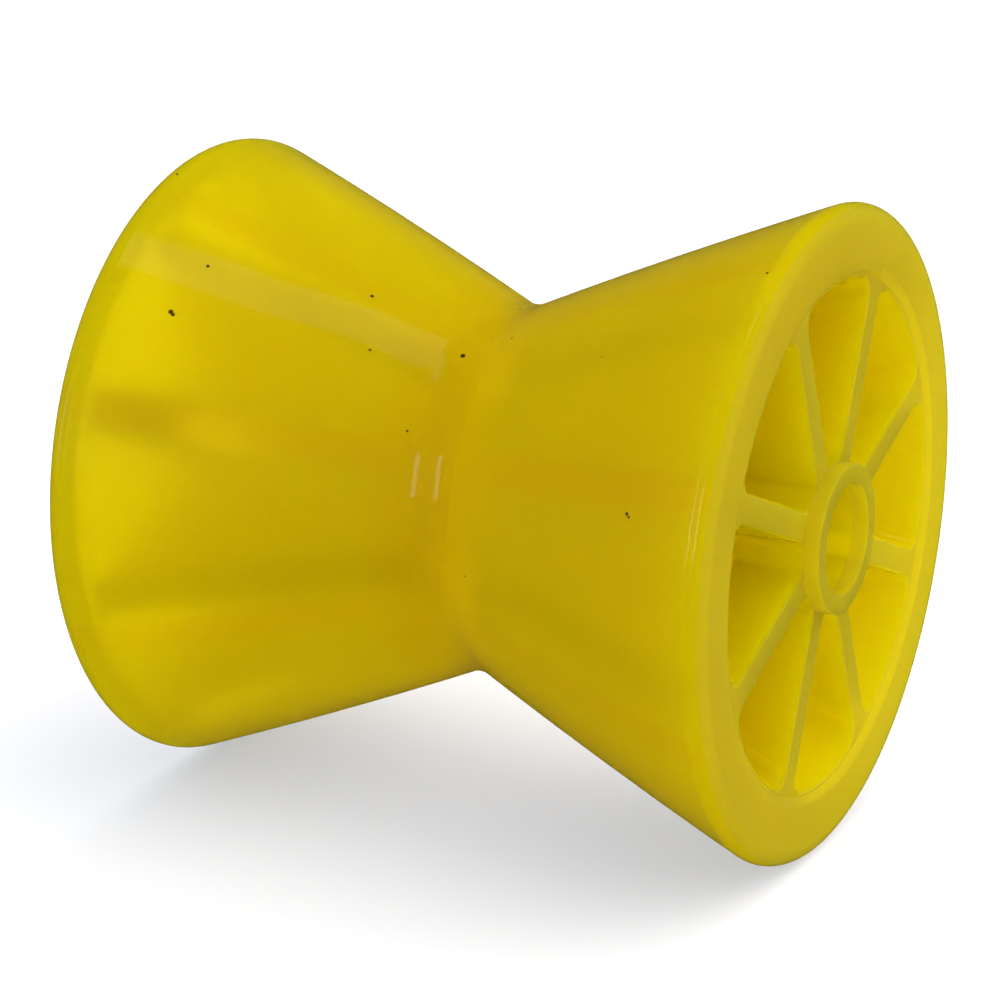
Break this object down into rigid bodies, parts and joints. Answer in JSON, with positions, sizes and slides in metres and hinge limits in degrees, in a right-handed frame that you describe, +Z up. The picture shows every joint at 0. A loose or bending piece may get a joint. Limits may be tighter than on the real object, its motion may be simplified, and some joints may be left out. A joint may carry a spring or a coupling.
{
  "type": "boat trailer bow roller",
  "caption": "V-shaped bow roller of clear yellow plastic, with cored and ribbed ends and a plain bore for its shaft.",
  "frame": {"origin": "on the bore's axis at the face of the lower hub, where the roller stands on its end", "axes": "+Z runs up the bore's axis from the lower end to the upper one; +X runs through the middle of a pocket"},
  "size_m": [0.094, 0.094, 0.1048],
  "materials": {
    "roller_plastic": "clear yellow flexible plastic with a smooth, slightly dulled moulded surface"
  },
  "bodies": {
    "root": {"roller": "roller_plastic"}
  },
  "joints": []
}
